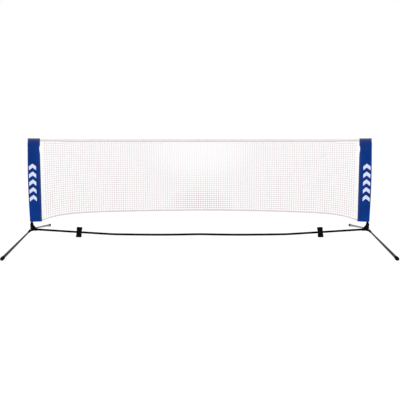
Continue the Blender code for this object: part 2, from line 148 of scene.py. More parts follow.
# ---- camera, floor and light
def add_camera():
    """A camera that looks a little down from in front of the net."""
    data = bpy.data.cameras.new("camera")
    data.lens = 36.96
    data.sensor_width = 36.0
    data.shift_y = -0.130
    data.clip_start = 0.05
    made = bpy.data.objects.new("camera", data)
    made.location = CAMERA_PLACE
    made.rotation_euler = (math.radians(90 - CAMERA_DIP), 0.0, 0.0)
    bpy.context.scene.collection.objects.link(made)
    bpy.context.scene.camera = made


def add_area_light(name, place, aim, size, power):
    """A rectangular light at place that points at aim."""
    data = bpy.data.lights.new(name, "AREA")
    data.shape = "RECTANGLE"
    data.size, data.size_y = size
    data.energy = power
    made = bpy.data.objects.new(name, data)
    made.location = place
    toward = Vector(aim) - Vector(place)
    made.rotation_euler = toward.to_track_quat("-Z", "Y").to_euler()
    bpy.context.scene.collection.objects.link(made)


def add_surroundings():
    """White sky, two soft front lights, a low light behind each pair of legs, and a self-lit floor."""
    world = bpy.data.worlds.new("studio")
    world.use_nodes = True
    sky = world.node_tree.nodes["Background"]
    sky.inputs["Color"].default_value = (1.0, 1.0, 1.0, 1.0)
    sky.inputs["Strength"].default_value = 1.0
    bpy.context.scene.world = world
    bpy.context.scene.view_settings.view_transform = "Standard"
    for name, light in LIGHTS.items():
        add_area_light(name, *light)

    mesh = bpy.data.meshes.new("floor")
    signs = ((-1, -1), (1, -1), (1, 1), (-1, 1))
    corners = [(x * FLOOR_REACH, y * FLOOR_REACH, FLOOR_Z) for x, y in signs]
    mesh.from_pydata(corners, [], [(0, 1, 2, 3)])
    paper = bpy.data.materials.new("studio_paper")
    paper.use_nodes = True
    shader = paper.node_tree.nodes["Principled BSDF"]
    shader.inputs["Base Color"].default_value = (FLOOR_TONE, FLOOR_TONE, FLOOR_TONE, 1.0)
    shader.inputs["Roughness"].default_value = 0.9
    shader.inputs["Specular IOR Level"].default_value = 0.0
    shader.inputs["Emission Color"].default_value = (1.0, 1.0, 1.0, 1.0)
    shader.inputs["Emission Strength"].default_value = FLOOR_GLOW
    mesh.materials.append(paper)
    floor = bpy.data.objects.new("floor", mesh)
    bpy.context.scene.collection.objects.link(floor)


# ---- material tools
class Nodes:
    """A material's node tree, with short calls for the nodes used here."""

    def __init__(self, name, colour, roughness, metallic=0.0, specular=0.5, ior=1.5):
        self.material = bpy.data.materials.new(name)
        self.material.use_nodes = True
        self.tree = self.material.node_tree
        self.shader = self.tree.nodes["Principled BSDF"]
        self.shader.inputs["Base Color"].default_value = (*colour, 1.0)
        self.shader.inputs["Roughness"].default_value = roughness
        self.shader.inputs["Metallic"].default_value = metallic
        self.shader.inputs["Specular IOR Level"].default_value = specular
        self.shader.inputs["IOR"].default_value = ior
        self.place = self.add("ShaderNodeTexCoord").outputs["Object"]

    def add(self, kind, **settings):
        """A new node of this kind with these settings."""
        made = self.tree.nodes.new(kind)
        for key, value in settings.items():
            setattr(made, key, value)
        return made

    def link(self, source, target):
        self.tree.links.new(source, target)

    def put(self, socket, value):
        """Links value to the socket if it is another socket, or stores it there."""
        if isinstance(value, bpy.types.NodeSocket):
            self.link(value, socket)
        else:
            socket.default_value = value

    def maths(self, operation, *values):
        made = self.add("ShaderNodeMath", operation=operation)
        for socket, value in zip(made.inputs, values):
            self.put(socket, value)
        return made.outputs[0]

    def noise(self, scale, detail=3.0, stretch=(1, 1, 1)):
        mapping = self.add("ShaderNodeMapping")
        mapping.inputs["Scale"].default_value = stretch
        self.link(self.place, mapping.inputs["Vector"])
        made = self.add("ShaderNodeTexNoise")
        made.inputs["Scale"].default_value = scale
        made.inputs["Detail"].default_value = detail
        self.link(mapping.outputs[0], made.inputs["Vector"])
        return made.outputs["Fac"]

    def ramp(self, fac, low, high):
        """Maps fac from low..high to 0..1."""
        made = self.add("ShaderNodeMapRange")
        self.put(made.inputs["Value"], fac)
        made.inputs["From Min"].default_value = low
        made.inputs["From Max"].default_value = high
        return made.outputs[0]

    def span(self, fac, low, high):
        """Maps fac from 0..1 to low..high."""
        made = self.add("ShaderNodeMapRange")
        self.put(made.inputs["Value"], fac)
        made.inputs["To Min"].default_value = low
        made.inputs["To Max"].default_value = high
        return made.outputs[0]

    def mix(self, fac, first, second):
        made = self.add("ShaderNodeMix", data_type="RGBA")
        self.put(made.inputs["Factor"], fac)
        for socket, colour in ((made.inputs["A"], first), (made.inputs["B"], second)):
            self.put(socket, colour if isinstance(colour, bpy.types.NodeSocket) else (*colour, 1.0))
        return made.outputs["Result"]

    def bump(self, height, distance, strength=1.0):
        made = self.add("ShaderNodeBump")
        made.inputs["Strength"].default_value = strength
        made.inputs["Distance"].default_value = distance
        self.link(height, made.inputs["Height"])
        self.link(made.outputs[0], self.shader.inputs["Normal"])

    def axes(self):
        made = self.add("ShaderNodeSeparateXYZ")
        self.link(self.place, made.inputs[0])
        return made.outputs


def weave_height(nodes, pitch):
    """Plain weave in the X-Z plane: upright yarns and level yarns pass over each other in turn."""
    x, _, z = nodes.axes()
    across = nodes.maths("MULTIPLY", x, 1.0 / pitch)
    up = nodes.maths("MULTIPLY", z, 1.0 / pitch)
    warp = nodes.maths("ABSOLUTE", nodes.maths("SINE", nodes.maths("MULTIPLY", across, math.pi)))
    weft = nodes.maths("ABSOLUTE", nodes.maths("SINE", nodes.maths("MULTIPLY", up, math.pi)))
    cells = nodes.maths("ADD", nodes.maths("FLOOR", across), nodes.maths("FLOOR", up))
    over = nodes.maths("ABSOLUTE", nodes.maths("MODULO", cells, 2.0))
    mixer = nodes.add("ShaderNodeMix", data_type="FLOAT")
    nodes.link(over, mixer.inputs["Factor"])
    nodes.link(warp, mixer.inputs["A"])
    nodes.link(weft, mixer.inputs["B"])
    return mixer.outputs["Result"]


def cloth(name, colour, shade, pitch, depth):
    """Woven cloth: yarn relief, painted shade in the gaps between yarns and a slow drift of tone."""
    nodes = Nodes(name, colour, 0.88, specular=0.08)
    height = weave_height(nodes, pitch)
    drift = nodes.noise(9.0, 4.0)
    toned = nodes.mix(nodes.ramp(drift, 0.35, 0.68), colour, shade)
    # painted shade: the gaps between yarns are darkened where shade falls in the weave
    gap_shade_colour = tuple(c * 0.62 for c in shade)
    gap_shade = nodes.ramp(height, 0.0, 0.55)
    nodes.link(nodes.mix(gap_shade, gap_shade_colour, toned), nodes.shader.inputs["Base Color"])
    nodes.link(nodes.span(height, 0.95, 0.80), nodes.shader.inputs["Roughness"])
    nodes.bump(height, depth)
    return nodes


def sleeve_cloth():
    """Blue polyester; painted shade makes it darker and more violet round and under the cuff and duller along its
    two edges, and it turns greyer at its very top.
    """
    nodes = cloth("sleeve_polyester", (0.0019, 0.037, 0.235), (0.0017, 0.025, 0.160),
                  pitch=0.0009, depth=0.0002)
    x, _, z = nodes.axes()
    height = nodes.ramp(z, bag_low.z, bag_high.z)
    base = nodes.shader.inputs["Base Color"].links[0].from_socket
    # painted shade: darker and more violet round the cuff and under its lower edge
    cuff_shaded = nodes.mix(nodes.ramp(height, 0.86, 0.95), base, (0.0060, 0.027, 0.152))
    lifted = nodes.mix(nodes.ramp(height, 0.955, 0.995), cuff_shaded, (0.030, 0.046, 0.155))
    reach = nodes.maths("ABSOLUTE", x)
    # painted shade along the tunnel's outer round, where the cloth turns away
    outer = nodes.ramp(reach, POST_X + 0.004, POST_X + 0.018)
    outer_edge_shaded = nodes.mix(nodes.maths("MULTIPLY", outer, 0.55), lifted, (0.018, 0.036, 0.110))
    # painted shade along the inner edge, where the cloth turns round
    inner = nodes.ramp(reach, bag_low.x + 0.020, bag_low.x + 0.002)
    inner_edge_shaded = nodes.mix(nodes.maths("MULTIPLY", inner, 0.80), outer_edge_shaded, (0.026, 0.042, 0.150))
    nodes.link(inner_edge_shaded, nodes.shader.inputs["Base Color"])
    return nodes.material


def moulded(name, colour, roughness, grain, depth, specular=0.2, ior=1.5):
    """Moulded plastic or rubber: fine grain, slightly uneven gloss, faint dusty patches."""
    nodes = Nodes(name, colour, roughness, specular=specular, ior=ior)
    fine = nodes.noise(grain, 2.0)
    slow = nodes.noise(22.0, 4.0)
    pale = tuple(min(1.0, c * 2.2 + 0.004) for c in colour)
    dusty = nodes.mix(nodes.ramp(slow, 0.50, 0.80), colour, pale)
    nodes.link(dusty, nodes.shader.inputs["Base Color"])
    nodes.link(nodes.span(slow, roughness - 0.08, roughness + 0.12), nodes.shader.inputs["Roughness"])
    nodes.bump(fine, depth, 0.6)
    return nodes.material


def coated_steel(name, colour, roughness, fleck, specular, ior=1.5):
    """Coated tube: orange-peel relief, a slow drift of tone and gloss, tiny pale flecks."""
    nodes = Nodes(name, colour, roughness, specular=specular, ior=ior)
    peel = nodes.noise(700.0, 2.0)
    slow = nodes.noise(14.0, 5.0)
    flecks = nodes.ramp(nodes.noise(1500.0, 1.0), 0.64, 0.72)
    worn = tuple(min(1.0, c * 1.6 + fleck) for c in colour)
    toned = nodes.mix(nodes.ramp(slow, 0.45, 0.75), colour, tuple(c * 1.35 for c in colour))
    share = nodes.maths("MULTIPLY", flecks, 0.5)
    nodes.link(nodes.mix(share, toned, worn), nodes.shader.inputs["Base Color"])
    nodes.link(nodes.span(slow, roughness - 0.06, roughness + 0.12), nodes.shader.inputs["Roughness"])
    nodes.bump(peel, 0.0001, 0.5)
    return nodes.material


def zinc_plate():
    """Bright cloudy plating with fine upright brush marks."""
    nodes = Nodes("zinc_plate", (0.46, 0.47, 0.49), 0.3, metallic=1.0)
    brushed = nodes.noise(900.0, 3.0, (1, 1, 0.1))
    cloudy = nodes.noise(60.0, 3.0)
    toned = nodes.mix(cloudy, (0.38, 0.39, 0.41), (0.56, 0.57, 0.58))
    nodes.link(toned, nodes.shader.inputs["Base Color"])
    nodes.link(nodes.span(cloudy, 0.22, 0.42), nodes.shader.inputs["Roughness"])
    nodes.bump(brushed, 0.00005, 0.5)
    return nodes.material


def oval(nodes, across, up, area):
    """1 in the middle of an upright oval in the net's plane, falling to 0 at its rim."""
    wide, tall, middle = area
    reach = nodes.maths("POWER", nodes.maths("MULTIPLY", across, 1.0 / wide), 2.0)
    offset = nodes.maths("MULTIPLY", nodes.maths("SUBTRACT", up, middle), 1.0 / tall)
    return nodes.ramp(nodes.maths("ADD", reach, nodes.maths("POWER", offset, 2.0)), 1.0, 0.0)


def twine():
    """Dusty rose twine with a twist in tone, bleached high in the middle and pinker below that."""
    nodes = Nodes("net_twine", (0.34, 0.16, 0.20), 0.9, specular=0.1)
    x, y, z = nodes.axes()
    run = nodes.maths("ADD", nodes.maths("ADD", x, z), nodes.maths("MULTIPLY", y, 2.0))
    twist = nodes.maths("SINE", nodes.maths("MULTIPLY", run, 2 * math.pi / 0.0022))
    share = nodes.ramp(twist, -1.0, 1.0)
    dyed = nodes.mix(share, (0.29, 0.135, 0.165), (0.39, 0.20, 0.235))
    rose = nodes.mix(oval(nodes, x, z, PATCH), dyed, (0.34, 0.012, 0.160))
    pale = nodes.maths("MULTIPLY", oval(nodes, x, z, FADE), 0.60)
    nodes.link(nodes.mix(pale, rose, (0.86, 0.80, 0.83)), nodes.shader.inputs["Base Color"])
    nodes.bump(share, 0.0002, 0.6)
    return nodes.material


def graded_tape(name, colour, shade, heights, tint, most, gather=0.0):
    """Pale webbing that turns to tint from the first to the second of heights, by most at most.

    With gather, the change sits higher at the tape's ends."""
    nodes = cloth(name, colour, shade, pitch=0.0013, depth=0.0003)
    x, _, z = nodes.axes()
    drawn = nodes.maths("MULTIPLY", nodes.ramp(nodes.maths("ABSOLUTE", x), *GATHER_X), gather)
    level = nodes.maths("SUBTRACT", z, drawn)
    share = nodes.maths("MULTIPLY", nodes.ramp(level, *heights), most)
    base = nodes.shader.inputs["Base Color"].links[0].from_socket
    nodes.link(nodes.mix(share, base, tint), nodes.shader.inputs["Base Color"])
    return nodes.material


MATERIALS = {
    "black_plastic": moulded("satin_black_plastic", (0.0028, 0.0026, 0.0026), 0.55,
                             grain=900.0, depth=0.0001, specular=0.16, ior=1.18),
    "black_steel": coated_steel("black_powder_coat", (0.0018, 0.0017, 0.0018), 0.50,
                                fleck=0.003, specular=0.25, ior=1.15),
    "grey_steel": coated_steel("grey_lacquer", (0.010, 0.0098, 0.010), 0.14,
                               fleck=0.012, specular=0.45),
    "zinc_steel": zinc_plate(),
    "rubber": moulded("matt_rubber", (0.003, 0.003, 0.003), 0.80,
                      grain=500.0, depth=0.0002, ior=1.2),
    "blue_fabric": sleeve_cloth(),
    "tape": cloth("net_tape", (0.70, 0.63, 0.655), (0.64, 0.575, 0.60),
                  pitch=0.0013, depth=0.0003).material,
    "top_tape": graded_tape("top_tape_webbing", (0.80, 0.735, 0.755), (0.745, 0.68, 0.70),
                            heights=(top_low.z + 0.013, top_low.z + 0.006),
                            tint=(0.57, 0.51, 0.53), most=0.85, gather=GATHER),
    "edge_tape": graded_tape("edge_tape", (0.90, 0.885, 0.87), (0.87, 0.855, 0.845),
                             heights=(panel_high.z - 0.20, panel_low.z + 0.05),
                             tint=(0.80, 0.79, 0.775), most=0.9),
    "binding": cloth("grey_binding", (0.13, 0.14, 0.19), (0.10, 0.11, 0.16),
                     pitch=0.0011, depth=0.0003).material,
    "ink": cloth("white_ink", (0.68, 0.70, 0.84), (0.64, 0.665, 0.80),
                 pitch=0.0009, depth=0.0001).material,
    "net_twine": twine(),
    "blue_thread": moulded("blue_thread", (0.012, 0.045, 0.20), 0.7, grain=900.0, depth=0.0001),
    "pale_thread": moulded("pale_thread", (0.62, 0.55, 0.57), 0.8, grain=900.0, depth=0.0001),
}


# ---- mesh tools
def piece(name, points, faces, slot, body=CARRIAGE, material=None, sharp=50):
    """A smooth mesh object in the row frame that rides on a body."""
    mesh = bpy.data.meshes.new(name)
    mesh.from_pydata(points, [], faces)
    mesh.materials.append(MATERIALS[material or slot])
    mesh.shade_smooth()
    mesh.set_sharp_from_angle(angle=math.radians(sharp))
    made = bpy.data.objects.new(name, mesh)
    bpy.context.scene.collection.objects.link(made)
    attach(made, body)
    return made


def lofted(rings, wrap=False, low_cap=True):
    """Points and faces of closed rings bridged in order; the ends are filled, or joined by wrap."""
    count = len(rings[0])
    points = [p for ring in rings for p in ring]
    faces = []
    spans = len(rings) if wrap else len(rings) - 1
    for a in range(spans):
        b = (a + 1) % len(rings)
        for i in range(count):
            j = (i + 1) % count
            faces.append((a * count + i, a * count + j, b * count + j, b * count + i))
    if not wrap and low_cap:
        faces.append(tuple(range(count))[::-1])
    if not wrap:
        top = (len(rings) - 1) * count
        faces.append(tuple(range(top, top + count)))
    return points, faces


def smooth_step(value, low, high):
    """0 up to low, 1 from high on, with an eased rise between them."""
    t = min(1.0, max(0.0, (value - low) / (high - low)))
    return t * t * (3 - 2 * t)


def ripple(x, z, seed, scale):
    """Smooth unevenness from -1 to 1; seed picks the pattern and scale its fineness."""
    return noise.noise(Vector((x * scale, seed, z * scale)))


def points_of(node):
    """The points of a CAD piece."""
    return [v.co for v in frame["nodes"][node].data.vertices]


# ---- net shape
tape_points = sorted(points_of("net_bottom_tape"), key=lambda p: -p.z)
arch_points = sorted({round(p.x, 5): p.z for p in tape_points}.items())  # the lowest point at each x
ARCH_X = np.array([p[0] for p in arch_points])
ARCH_Z = np.array([p[1] for p in arch_points])


def arch(x):
    """Height of the net's lower edge at x; past the net it runs on down to the sleeve's corner."""
    return float(np.interp(x, ARCH_X, ARCH_Z)) - ARCH_FALL * max(0.0, abs(x) - ARCH_X[-1])


def edge_at(z):
    """X of the sleeve's inner edge: drawn in a little just under the cuff."""
    waist = math.exp(-(((z - (cuff_low.z - 0.030)) / 0.030) ** 2))
    return bag_low.x - 0.0010 + 0.0050 * waist + 0.0012 * ripple(0.0, z, 21.0, 9.0)


bottom_reach = edge_at(arch(edge_high.x)) + TUCK


def billow(x, z):
    """How far the net hangs out of its plane: nothing at the top, most low in the middle."""
    drop = 1.0 - smooth_step(z, arch(x), top_low.z)
    ends = math.cos(math.pi / 2 * min(1.0, abs(x) / edge_low.x)) ** 0.5
    wave = math.sin(x * 5.3 + 0.6) + 0.6 * math.sin(x * 11.9 + z * 4.0)
    return drop * ends * (0.0035 * wave + 0.002 * ripple(x, z, 3.0, 4.0))


def tape_foot(x):
    """Height of the top tape's lower edge at x: drawn up where the tape is gathered into a sleeve."""
    return top_low.z + GATHER * smooth_step(abs(x), *GATHER_X)


def net_point(x, row):
    """A knot's place: rows fan from straight under the top tape to the arch at the bottom."""
    low = arch(x) + TAPE_TALL - MESH_TUCK
    high = tape_foot(x) + MESH_TUCK
    share = row / MESH_ROWS
    z = high + (low - high) * share
    sway = 0.0005 * ripple(x, z, 8.0, 60.0)
    return Vector((x + sway, billow(x, z), z + 0.0005 * ripple(x, z, 5.0, 60.0)))


def inside_oval(p, area):
    """1 in the middle of the upright oval area, falling to 0 at its rim."""
    wide, tall, middle = area
    return max(0.0, 1.0 - (p.x / wide) ** 2 - ((p.z - middle) / tall) ** 2)


def fullness(p):
    """The twine is drawn thin high in the middle and lies fuller towards the slack lower edge."""
    slack = 1.0 - smooth_step(p.z, arch(p.x), top_low.z)
    return 0.98 + 0.20 * slack + 0.28 * inside_oval(p, PATCH) - 0.17 * inside_oval(p, FADE)


def thread(points, shape):
    """Adds a five-sided thread through the points to the (points, faces) in shape."""
    verts, faces = shape
    sides = 5
    start = len(verts)
    back = Vector((0, 1, 0))
    for i, p in enumerate(points):
        ahead = (points[min(i + 1, len(points) - 1)] - points[max(i - 1, 0)]).normalized()
        side = back.cross(ahead).normalized()
        up = ahead.cross(side)
        for k in range(sides):
            turn = 2 * math.pi * k / sides
            reach = side * math.cos(turn) + up * math.sin(turn)
            verts.append(p + reach * TWINE_R * fullness(p))
    for i in range(len(points) - 1):
        for k in range(sides):
            low = start + i * sides
            n = (k + 1) % sides
            faces.append((low + k, low + n, low + sides + n, low + sides + k))
    faces.append(tuple(range(start + sides - 1, start - 1, -1)))
    last = start + (len(points) - 1) * sides
    faces.append(tuple(range(last, last + sides)))


def knot(p, shape):
    """Adds a small eight-faced lump where two threads are tied."""
    verts, faces = shape
    start = len(verts)
    for offset in ((1, 0, 0), (0, 0, 1), (-1, 0, 0), (0, 0, -1), (0, 1, 0), (0, -1, 0)):
        verts.append(p + Vector(offset) * KNOT_R)
    for k in range(4):
        n = (k + 1) % 4
        faces.append((start + n, start + k, start + 4))
        faces.append((start + k, start + n, start + 5))


def make_net():
    """Upright and level threads through one grid of knots, between the tapes."""
    reach = edge_low.x + SIDE_TUCK
    count = int(round(2 * reach / MESH_WIDE))
    xs = [-reach + 2 * reach * i / count for i in range(count + 1)]
    grid = [[net_point(x, row) for row in range(MESH_ROWS + 1)] for x in xs]
    upright, level, knots = ([], []), ([], []), ([], [])
    for column in grid[1:-1]:
        thread(column, upright)
        for p in column[1:-1]:
            knot(p, knots)
    for row in range(1, MESH_ROWS):
        thread([column[row] for column in grid], level)
    made = [piece("net_upright_threads", *upright, "net_twine", sharp=180),
            piece("net_level_threads", *level, "net_twine", sharp=180),
            piece("net_knots", *knots, "net_twine", sharp=180)]
    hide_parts("net_panel")
    return made


# ---- tapes
def tape_section(half_y, low, high, roll, steps=5):
    """Upright section of a folded tape as (y, z): two flat layers under a rolled upper edge."""
    centre = high - roll
    arc = [math.pi * k / steps for k in range(steps + 1)]
    outline = [(roll * math.cos(a), centre + roll * math.sin(a)) for a in arc]
    left = [(-roll, centre - roll * 0.8), (-half_y, centre - roll * 2.4), (-half_y, low + half_y),
            (-half_y * 0.6, low)]
    return outline + left + [(-y, z) for y, z in left[::-1]]


def tape_drift(x):
    """How far the top tape leans back and sags at x."""
    return 0.0010 * ripple(x, 0.3, 4.0, 6.0), 0.0008 * ripple(x, 0.0, 2.0, 5.0)


def make_top_tape():
    """Doubled webbing from sleeve to sleeve, its fold at the top."""
    reach = top_high.x
    rings = []
    for i in range(TAPE_STEPS + 1):
        x = -reach + 2 * reach * i / TAPE_STEPS
        lean, sag = tape_drift(x)
        section = tape_section(TOP_HALF, tape_foot(x) + 0.0003, top_high.z - 0.0008, TOP_ROLL)
        rings.append([Vector((x, y + lean, z + sag)) for y, z in section])
    return piece("top_tape", *lofted(rings), "tape", material="top_tape")


def make_bottom_tape():
    """Folded over the net's arched edge and the side tapes' ends, from sleeve to sleeve."""
    reach = bottom_reach
    rings = []
    for i in range(TAPE_STEPS + 1):
        x = -reach + 2 * reach * i / TAPE_STEPS
        low = arch(x)
        out = billow(x, low + TAPE_TALL / 2)
        flat = 1.0 - 0.6 * smooth_step(abs(x), reach - 0.012, reach)
        section = tape_section(BOTTOM_HALF * flat, low + 0.0003, low + TAPE_TALL,
                               BOTTOM_ROLL * flat, 3)
        rings.append([Vector((x, y + out, z)) for y, z in section])
    return piece("bottom_tape", *lofted(rings), "tape")


def make_side_tape(side, sign):
    """Woven band between net and sleeve, its foot cut along the arch, its top corner under the cuff."""
    low_x = edge_low.x
    rows, columns = 60, 6
    rings = []
    for k in range(rows + 1):
        share = k / rows
        front, back = [], []
        for i in range(columns + 1):
            across = i / columns
            near = low_x + (edge_at(top_low.z) + TUCK - low_x) * across
            low = arch(near) + 0.5 * TAPE_TALL
            high = cuff_low.z + 0.004 if near > cuff_low.x else tape_foot(near) + 0.001
            z = low + (high - low) * share
            x = low_x + (edge_at(z) + TUCK - low_x) * across
            out = 0.0008 * ripple(x, z, 12.0, 16.0) * math.sin(math.pi * share) * (1 - across)
            thick = 0.0011 if i == 0 else 0.0008 - 0.0004 * across  # thickest at the net
            front.append(Vector((sign * x, out - thick, z)))
            back.append(Vector((sign * x, out + thick, z)))
        ring = front + back[::-1]
        rings.append(ring if sign > 0 else ring[::-1])
    return piece(f"side_tape_{side}", *lofted(rings), "tape", material="edge_tape")


# ---- stitches
def stitch(shape, start, end, out):
    """One raised stitch: a low six-sided pad between two needle holes."""
    verts, faces = shape
    along = (end - start).normalized()
    side = along.cross(out).normalized()
    base = len(verts)
    rows = ((start, 0.0, -0.2),
            (start + (end - start) * 0.25, 1.0, 1.0),
            (start + (end - start) * 0.75, 1.0, 1.0),
            (end, 0.0, -0.2))
    for p, swell, lift in rows:
        half = STITCH_WIDE * (0.25 + 0.25 * swell)
        verts.append(p - side * half - out * STITCH_PROUD * 0.5)
        verts.append(p + out * STITCH_PROUD * lift)
        verts.append(p + side * half - out * STITCH_PROUD * 0.5)
    for r in range(3):
        for k in range(3):
            a, b = base + r * 3 + k, base + r * 3 + (k + 1) % 3
            faces.append((a, b, b + 3, a + 3))
    faces.append((base + 2, base + 1, base))
    faces.append((base + 9, base + 10, base + 11))


def stitch_line(shape, place, start, length, face, pitch):
    """Stitches along a seam from start: place(at, face) gives the seam's point at a distance."""
    for i in range(int(length / pitch)):
        first = place(start + i * pitch, face)
        last = place(start + (i + STITCH_FILL) * pitch, face)
        if (last - first).length > 1e-5:
            stitch(shape, first, last, Vector((0, face, 0)))


def foot_seam(x, face):
    """Point of the top tape's lower seam at x."""
    lean, sag = tape_drift(x)
    return Vector((x, face * TOP_HALF + lean, tape_foot(x) + 0.0035 + sag))


def fold_seam(x, face):
    """Point of the top tape's upper seam at x."""
    lean, sag = tape_drift(x)
    return Vector((x, face * TOP_HALF + lean, top_high.z - 0.0085 + sag))


def bottom_seam(x, face):
    """Point of the bottom tape's seam at x."""
    return Vector((x, face * BOTTOM_HALF + billow(x, arch(x) + 0.006), arch(x) + 0.0045))


def make_tape_stitches():
    """Two seams on the top tape and one on the bottom tape, on both faces."""
    shape = ([], [])
    seams = ((foot_seam, top_high.x - SEAM_END), (fold_seam, top_high.x - SEAM_END),
             (bottom_seam, bottom_reach - SEAM_END))
    for face in (FRONT, BACK):
        for seam, reach in seams:
            stitch_line(shape, seam, -reach, 2 * reach, face, HEM_PITCH)
    return piece("tape_stitches", *shape, "tape", material="pale_thread", sharp=180)


# ---- sleeves
def crease(x, z):
    """How far the soft folds carry the sleeve's flat part forward; all its layers move together."""
    share = smooth_step(z, bag_low.z, bag_low.z + 0.05) * (1 - smooth_step(z, cuff_low.z, bag_high.z))
    inside = math.sin(math.pi * min(1.0, max(0.0, (x - bag_low.x) / (POST_X - bag_low.x))))
    folds = math.sin(2 * math.pi * (x / 0.085 + 0.45 * math.sin(z * 6.5)) + 1.0)
    pull = math.sin((z - x * 1.6) * 62.0) * smooth_step(z, cuff_low.z - 0.16, cuff_low.z)
    return inside * (share * 0.0026 * folds + 0.0009 * pull + 0.0020 * ripple(x, z, 17.0, 14.0))


def folded(x, y, z):
    """The outline's point moved by the folds, which fade out on the tunnel's round."""
    return x, y - crease(x, z) * (1 - smooth_step(abs(y), TUNNEL_R * 0.4, TUNNEL_R * 0.9))


def sleeve_section(z, inset):
    """Closed level outline of the sleeve at z; with an inset it goes round the tunnel only."""
    radius = TUNNEL_R - inset - TOP_DRAW * smooth_step(z, cuff_low.z + 0.010, bag_high.z - 0.010)
    height = min(1.0, max(0.0, (z - bag_low.z) / (bag_high.z - bag_low.z)))
    bow = BOW * math.sin(math.pi * height)
    if inset == 0:
        edge, seam = edge_at(z), SEAM_X
    else:
        edge, seam = SEAM_X + 0.004, SEAM_X + 0.006
    half = max(FLAT_HALF - inset, 0.0003)
    lean = math.asin((radius - half) / (POST_X - seam))
    front = [(edge + (seam - edge) * i / FLAT_STEPS, -half) for i in range(FLAT_STEPS)]
    touch = (POST_X - radius * math.sin(lean), -radius * math.cos(lean))
    for i in range(SLOPE_STEPS):
        t = i / SLOPE_STEPS
        ease = t * t * (2 - t)
        front.append((seam + (touch[0] - seam) * t, -half + (touch[1] + half) * ease))
    start = -(math.pi / 2 + lean)
    arc = []
    for k in range(ARC_STEPS + 1):
        turn = start - 2 * start * k / ARC_STEPS
        x = radius * math.cos(turn)
        arc.append((POST_X + x + bow * max(0.0, x / radius), radius * math.sin(turn)))
    outline = front + arc + [(x, -y) for x, y in front[::-1]]
    return [folded(x, y, z) for x, y in outline]


def hem_swell(z, low, high, tall=0.014):
    """Extra thickness where a hem is folded over."""
    near_low = 1 - smooth_step(z, low + tall - 0.002, low + tall)
    near_high = smooth_step(z, high - tall, high - tall + 0.002)
    return 0.0005 * max(near_low, near_high)


def grown(outline, amount):
    """The outline moved outward by amount."""
    count = len(outline)
    made = []
    for i, (x, y) in enumerate(outline):
        ax, ay = outline[i - 1]
        bx, by = outline[(i + 1) % count]
        dx, dy = bx - ax, by - ay
        size = math.hypot(dx, dy) or 1.0
        made.append((x + dy / size * amount, y - dx / size * amount))
    return made


def placed(outline, z, sign):
    """The outline as a ring of points at z, mirrored for the left side."""
    ring = [Vector((sign * x, y, z)) for x, y in outline]
    return ring if sign > 0 else ring[::-1]


def lower_edge(x, z):
    """The open bottom dips a little between the post and the inner edge."""
    share = 1 - smooth_step(z, bag_low.z, bag_low.z + 0.12)
    return share * (0.0022 * math.sin((x - bag_low.x) * 70.0) + 0.0016 * ripple(x, 0.0, 31.0, 25.0))


def pocket(outer, inner):
    """Closed skin from rising outer and inner rings: two lids at the top, one rim at the open foot."""
    points, faces = lofted(outer, low_cap=False)
    lining, lining_faces = lofted(inner, low_cap=False)
    first = len(points)
    faces += [tuple(first + k for k in face)[::-1] for face in lining_faces]
    count = len(outer[0])
    for i in range(count):
        j = (i + 1) % count
        faces.append((first + i, first + j, j, i))
    return points + lining, faces


def sleeve_ring(z, inset, sign):
    """The sleeve's outline at z in space; inset is 0 outside and the cloth's thickness inside."""
    outline = sleeve_section(z, inset)
    if inset == 0:
        outline = grown(outline, hem_swell(z, bag_low.z, bag_high.z))
    return [p + Vector((0, 0, lower_edge(abs(p.x), z))) for p in placed(outline, z, sign)]


def make_sleeve(side, sign):
    """The bag over the post: flat from the net to the seam, a round tunnel beyond it."""
    tall = bag_high.z - bag_low.z - 0.004
    heights = [bag_low.z + 0.0015 + tall * i / SLEEVE_STEPS for i in range(SLEEVE_STEPS + 1)]
    outer = [sleeve_ring(z, 0, sign) for z in heights]
    inner = [sleeve_ring(z, CLOTH, sign) for z in heights[:-4]]
    made = piece(f"fabric_sleeve_{side}", *pocket(outer, inner), "blue_fabric")
    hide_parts(f"sleeve_{side}")
    return made


def sleeve_face(x, z, face):
    """Y of the sleeve's front or back at |x| and z."""
    outline = sleeve_section(z, 0)
    middle = len(outline) // 2
    half = outline[:middle] if face == FRONT else outline[middle:][::-1]
    xs = [p[0] for p in half]
    outermost = xs.index(max(xs))
    return float(np.interp(x, xs[:outermost + 1], [p[1] for p in half[:outermost + 1]]))


def cuff_ring(z, swell, sign):
    """The cuff's outline at z, swell outside the sleeve: flared at its loose foot, eased at its top."""
    low = cuff_low.z
    stretched = []
    for x, y in sleeve_section(min(z, bag_high.z), 0):
        pull = 1 - smooth_step(x, bag_low.x, SEAM_X)
        stretched.append((x - CUFF_REACH * pull, y))
    flare = 0.0004 * (1 - smooth_step(z, low, low + 0.02))
    crown = 0.0012 * smooth_step(z, CUFF_TOP - 0.005, CUFF_TOP)
    hem = 0.6 * hem_swell(z, low, CUFF_TOP, 0.010)
    return placed(grown(stretched, 0.0006 + flare + hem - crown + swell), z, sign)


def make_cuff(side, sign):
    """Cap of the same cloth over the sleeve's top, its lower edge loose, its top pressed flat."""
    tall = CUFF_TOP - cuff_low.z
    heights = [cuff_low.z + tall * i / CUFF_STEPS for i in range(CUFF_STEPS + 1)]
    outer = [cuff_ring(z, 0.0, sign) for z in heights]
    inner = [cuff_ring(z, -CUFF_CLOTH, sign) for z in heights[:-1]]
    made = piece(f"fabric_cuff_{side}", *pocket(outer, inner), "blue_fabric")
    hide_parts(f"sleeve_cuff_{side}")
    return made


def make_binding(side, sign):
    """Grey ribbon stitched round the cuff's top edge."""
    low, high = CUFF_TOP - 0.0085, CUFF_TOP + 0.0006
    profile = ((low, 0.0002), (low + 0.0005, 0.0008), (low + 0.0030, 0.0009),
               (high - 0.0012, 0.0011), (high, 0.0004))
    rings = [cuff_ring(z, swell, sign) for z, swell in profile]
    inside = [cuff_ring(z, -0.0003, sign) for z in (high - 0.0008, low)]
    points, faces = lofted(rings + inside, wrap=True)
    return piece(f"cuff_binding_{side}", points, faces, "blue_fabric", material="binding")


